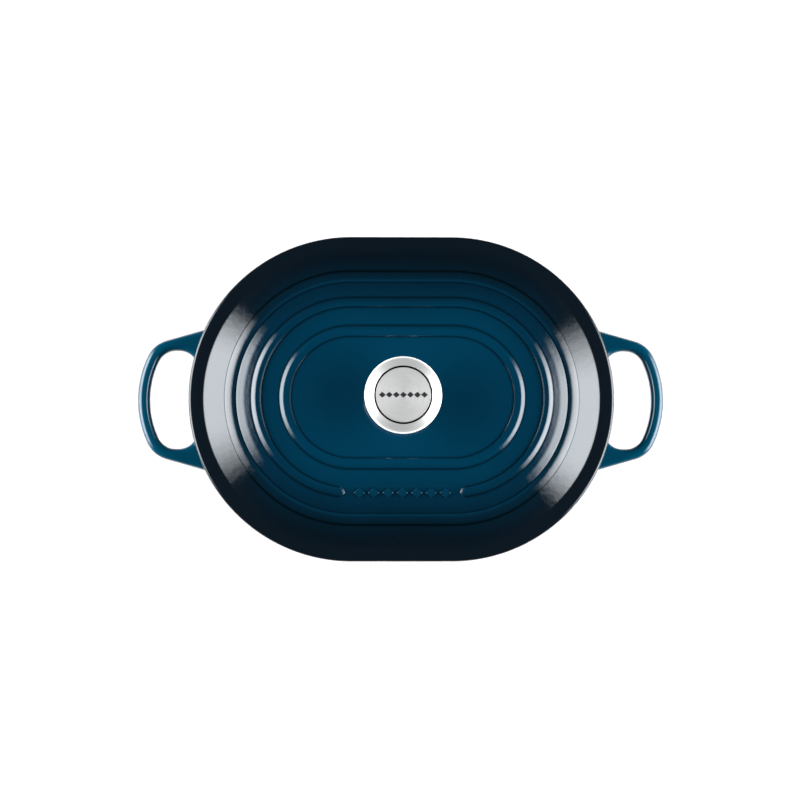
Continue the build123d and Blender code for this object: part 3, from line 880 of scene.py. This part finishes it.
# The plate is blanked from rolled sheet, so it has a fine straight grain and no rings.
plate_steel, tree = new_material("rolled stainless sheet")
place = add(tree, "ShaderNodeTexCoord").outputs["Object"]
grain = add(
    tree, "ShaderNodeMapping", {"Vector": place, "Scale": (1 / (12 * MM), 1 / (0.3 * MM), 1 / (0.3 * MM))}
)
grain = add(
    tree, "ShaderNodeTexNoise", {"Vector": grain.outputs[0], "Scale": 1.0, "Detail": 3.0}
).outputs["Fac"]
rough = add(tree, "ShaderNodeMapRange", {"Value": grain, "To Min": 0.28, "To Max": 0.42}).outputs[0]
tone = add(
    tree, "ShaderNodeValToRGB", {"Fac": grain}, stops=[(0.3, "#a5a4a2"), (0.7, "#bab8b5")]
).outputs["Color"]
bump = add(tree, "ShaderNodeBump", {"Strength": 0.4, "Distance": 0.004 * MM, "Height": grain}).outputs[0]
finish_material(
    tree,
    add(
        tree,
        "ShaderNodeBsdfPrincipled",
        {"Base Color": tone, "Metallic": 0.9, "Roughness": rough, "Normal": bump},
    ),
)
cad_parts["knob_base_plate"].material_slots[0].material = plate_steel

# The gasket is punched from a sheet of black silicone rubber: soft sheen and the faint mark of its mould.
gasket_rubber, tree = new_material("black silicone rubber")
place = add(tree, "ShaderNodeTexCoord").outputs["Object"]
grain = add(
    tree, "ShaderNodeTexNoise", {"Vector": place, "Scale": 1 / (0.25 * MM), "Detail": 3.0}
).outputs["Fac"]
tone = add(
    tree, "ShaderNodeValToRGB", {"Fac": grain}, stops=[(0.3, "#101112"), (0.7, "#1d1e20")]
).outputs["Color"]
bump = add(tree, "ShaderNodeBump", {"Strength": 0.5, "Distance": 0.01 * MM, "Height": grain}).outputs[0]
finish_material(
    tree,
    add(
        tree,
        "ShaderNodeBsdfPrincipled",
        {"Base Color": tone, "Roughness": 0.6, "IOR": 1.41, "Sheen Weight": 0.15, "Normal": bump},
    ),
)
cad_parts["knob_gasket"].material_slots[0].material = gasket_rubber

# ==================================================================================================
# The screw: M6, stainless, with a pan head, a cross recess and a rolled thread of 1 mm pitch. It comes up
# through the lid from underneath, with a split spring washer and a plain washer under its head.
# Corners are distance from the axis, height over the head's face, and rounding, in mm.
screw_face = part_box("knob_screw")[0].z
head_height = 3.4
head_section = [
    (0.0, 2.6, 0.0, 0, 0.0),
    (2.4, 2.6, 0.1, 0, 0.0),
    (2.4, head_height, 0.1, 0, 0.0),
    (5.6, head_height, 0.2, 0, 0.0),
    (5.6, 0.0, 1.7, 0, 0.0),
    (0.0, 0.0, 0.0, 0, 0.0),
]
screw_steel = brushed_steel(
    "cold-formed stainless steel",
    dark="#b2b0ae",
    light="#cbc9c6",
    metallic=0.95,
    roughness=0.25,
    spread=0.05,
    line_pitch=0.5 * MM,
    line_depth=0.004 * MM,
    anisotropy=0.2,
)
recess_tree, given = new_tree(
    "press a cross recess", [("Length", "Float"), ("Width", "Float"), ("Depth", "Float"), ("Bottom", "Float")]
)
arms = []
for across, along in (("Length", "Width"), ("Width", "Length")):
    deep = add(recess_tree, "ShaderNodeMath", {0: given["Depth"], 1: 2.0}, operation="MULTIPLY").outputs[0]
    size = add(
        recess_tree, "ShaderNodeCombineXYZ", {"X": given[across], "Y": given[along], "Z": deep}
    ).outputs[0]
    arm = add(recess_tree, "GeometryNodeMeshCube", {"Size": size}).outputs["Mesh"]
    low = add(recess_tree, "ShaderNodeCombineXYZ", {"X": 0.0, "Y": 0.0, "Z": given["Bottom"]}).outputs[0]
    arms.append(add(recess_tree, "GeometryNodeTransform", {"Geometry": arm, "Translation": low}).outputs[0])
pressed = given["Geometry"]
for arm in arms:
    pressed = add(
        recess_tree,
        "GeometryNodeMeshBoolean",
        {"Mesh 1": pressed, "Mesh 2": arm},
        operation="DIFFERENCE",
        solver="EXACT",
    ).outputs[0]
add(recess_tree, "NodeGroupOutput", {"Geometry": pressed})

# The rolled thread: a triangular ridge wound up the shank, which is as thick as the thread's root.
thread_tree, given = new_tree(
    "wind a thread",
    [
        ("Turns", "Float"),
        ("Length", "Float"),
        ("Ridge Middle", "Float"),
        ("Ridge Size", "Float"),
        ("Root Radius", "Float"),
        ("Overrun", "Float"),
        ("Start", "Float"),
        ("Material", "Material"),
    ],
)
helix = add(
    thread_tree,
    "GeometryNodeCurveSpiral",
    {
        "Resolution": 40,
        "Rotations": given["Turns"],
        "Start Radius": given["Ridge Middle"],
        "End Radius": given["Ridge Middle"],
        "Height": given["Length"],
    },
).outputs["Curve"]
helix = add(thread_tree, "GeometryNodeSetCurveNormal", {"Curve": helix}, mode="Z_UP").outputs[0]
ridge = add(
    thread_tree, "GeometryNodeCurvePrimitiveCircle", {"Resolution": 3, "Radius": given["Ridge Size"]}
).outputs["Curve"]
ridge = add(
    thread_tree, "GeometryNodeTransform", {"Geometry": ridge, "Rotation": (0.0, 0.0, math.pi)}
).outputs[0]
wound = add(
    thread_tree, "GeometryNodeCurveToMesh", {"Curve": helix, "Profile Curve": ridge, "Fill Caps": True}
).outputs[0]
start = add(thread_tree, "ShaderNodeCombineXYZ", {"X": 0.0, "Y": 0.0, "Z": given["Start"]}).outputs[0]
wound = add(thread_tree, "GeometryNodeTransform", {"Geometry": wound, "Translation": start}).outputs[0]
depth = add(
    thread_tree, "ShaderNodeMath", {0: given["Length"], 1: given["Overrun"]}, operation="ADD"
).outputs[0]
shank = add(
    thread_tree, "GeometryNodeMeshCylinder", {"Vertices": 64, "Radius": given["Root Radius"], "Depth": depth}
).outputs["Mesh"]
middle = add(
    thread_tree, "ShaderNodeMath", {0: given["Length"], 1: 0.5, 2: given["Start"]}, operation="MULTIPLY_ADD"
).outputs[0]
middle = add(thread_tree, "ShaderNodeCombineXYZ", {"X": 0.0, "Y": 0.0, "Z": middle}).outputs[0]
shank = add(thread_tree, "GeometryNodeTransform", {"Geometry": shank, "Translation": middle}).outputs[0]
joined = add(thread_tree, "GeometryNodeJoinGeometry", {"Geometry": given["Geometry"]})
thread_tree.links.new(shank, joined.inputs[0])
thread_tree.links.new(wound, joined.inputs[0])
joined = add(thread_tree, "GeometryNodeRealizeInstances", {"Geometry": joined.outputs[0]}).outputs[0]
joined = add(
    thread_tree, "GeometryNodeSetMaterial", {"Geometry": joined, "Material": given["Material"]}
).outputs[0]
add(thread_tree, "NodeGroupOutput", {"Geometry": joined})

thread_pitch = 1.0
thread_turns = 18
screw = shape(
    section_object("screw_m6", head_section, screw_face), carry, {**TURNED, "Material": screw_steel}
)
screw = shape(
    screw, recess_tree, {"Length": 6.4 * MM, "Width": 1.1 * MM, "Depth": 1.8 * MM, "Bottom": screw_face}
)
screw = shape(
    screw,
    thread_tree,
    {
        "Turns": float(thread_turns),
        "Length": thread_turns * thread_pitch * MM,
        "Ridge Middle": 2.42 * MM,
        "Ridge Size": 0.54 * MM,
        "Root Radius": 2.4 * MM,
        "Overrun": 1.6 * MM,
        "Start": screw_face + (head_height + thread_pitch) * MM,
        "Material": screw_steel,
    },
)
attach(screw, "lid")
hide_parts("knob_screw")

# Both washers are stamped, barrelled until their edges are soft, and left dull.
washer_steel = brushed_steel(
    "barrelled stainless steel",
    dark="#9a9896",
    light="#b0aeab",
    metallic=0.9,
    roughness=0.38,
    spread=0.06,
    line_pitch=0.7 * MM,
    line_depth=0.004 * MM,
    anisotropy=0.0,
)
for name in ("flat_washer", "lock_washer"):
    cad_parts[name].material_slots[0].material = washer_steel

# ==================================================================================================
# The studio: a white table, a soft box on each side, low down, and nothing overhead. The boxes stand
# a little off the middle, so the reflections in the lid are not quite the same on both sides.
table_mesh = bpy.data.meshes.new("table")
table_reach = 0.95
corners = [(x * table_reach, y * table_reach, 0.0) for x, y in ((-1, -1), (1, -1), (1, 1), (-1, 1))]
table_mesh.from_pydata(corners, [], [(0, 1, 2, 3)])
table = bpy.data.objects.new("table", table_mesh)
bpy.context.scene.collection.objects.link(table)
table_paint, tree = new_material("white table")
finish_material(
    tree, add(tree, "ShaderNodeBsdfPrincipled", {"Base Color": linear("#ece5e1"), "Roughness": 0.6})
)
table_mesh.materials.append(table_paint)

BOX_RADIANCE = 14.0
BOX_LOW, BOX_HIGH = 0.04, 2.2  # heights of its edges over the table
for name, x, y, width in (("left_soft_box", -1.3, 0.15, 2.08), ("right_soft_box", 1.3, -0.16, 2.18)):
    light = bpy.data.lights.new(name, "AREA")
    light.shape = "RECTANGLE"
    light.size, light.size_y = width, BOX_HIGH - BOX_LOW
    light.energy = BOX_RADIANCE * math.pi * light.size * light.size_y
    # its cloth is brightest low down in the middle, and fades to both ends and to the top
    light.use_nodes = True
    tree = light.node_tree
    tree.nodes.clear()
    spot = add(tree, "ShaderNodeNewGeometry").outputs["Parametric"]
    spot = add(tree, "ShaderNodeSeparateXYZ", {"Vector": spot})
    along = add(
        tree, "ShaderNodeMath", {0: spot.outputs["X"], 1: 2.0, 2: -1.0}, operation="MULTIPLY_ADD"
    ).outputs[0]
    along = add(tree, "ShaderNodeMath", {0: along}, operation="ABSOLUTE").outputs[0]
    along = add(
        tree, "ShaderNodeMapRange", {"Value": along, "From Min": 0.3, "To Min": 1.0, "To Max": 0.0},
        interpolation_type="SMOOTHSTEP",
    ).outputs[0]
    upward = add(
        tree,
        "ShaderNodeMapRange",
        {"Value": spot.outputs["Y"], "From Min": 0.3, "To Min": 1.0, "To Max": 0.0},
        interpolation_type="SMOOTHSTEP",
    ).outputs[0]
    strength = add(tree, "ShaderNodeMath", {0: along, 1: upward}, operation="MULTIPLY").outputs[0]
    glow = add(tree, "ShaderNodeEmission", {"Color": linear("#f4faff"), "Strength": strength}).outputs[0]
    add(tree, "ShaderNodeOutputLight", {"Surface": glow})
    box = bpy.data.objects.new(name, light)
    box.location = (x, y, (BOX_LOW + BOX_HIGH) / 2)
    box.rotation_euler = (math.pi / 2, 0.0, math.copysign(math.pi / 2, x))
    bpy.context.scene.collection.objects.link(box)

world = bpy.data.worlds.new("studio")
bpy.context.scene.world = world
world.use_nodes = True
tree = world.node_tree
tree.nodes.clear()
is_camera = add(tree, "ShaderNodeLightPath").outputs["Is Camera Ray"]
backdrop = add(tree, "ShaderNodeBackground", {"Color": linear("#ffffff"), "Strength": 1.0})
room = add(tree, "ShaderNodeBackground", {"Color": linear("#ffffff"), "Strength": 0.02})
seen = add(tree, "ShaderNodeMixShader", {0: is_camera, 1: room.outputs[0], 2: backdrop.outputs[0]})
add(tree, "ShaderNodeOutputWorld", {"Surface": seen.outputs[0]})

bpy.context.scene.view_settings.view_transform = "Standard"

# The camera looks almost straight down, from a little in front and to the left.
camera = bpy.data.cameras.new("camera")
camera_object = bpy.data.objects.new("camera", camera)
bpy.context.scene.collection.objects.link(camera_object)
look_at = Vector((-1.2 * MM, -0.8 * MM, rim_height))
lean_left, lean_front = math.radians(1.2), math.radians(2.9)
back = Vector((-math.sin(lean_left), -math.sin(lean_front), 1.0)).normalized()
camera_distance = 1.78
view_width = 599.6 * MM  # what the camera sees across, at the rim's height
camera_object.location = look_at + back * camera_distance
camera_object.rotation_mode = "QUATERNION"
right = Vector((0, 1, 0)).cross(back).normalized()
camera_object.rotation_quaternion = Matrix((right, back.cross(right), back)).transposed().to_quaternion()
camera.sensor_width = 36.0
camera.lens = camera.sensor_width * camera_distance / view_width
bpy.context.scene.camera = camera_object

bpy.context.view_layer.update()
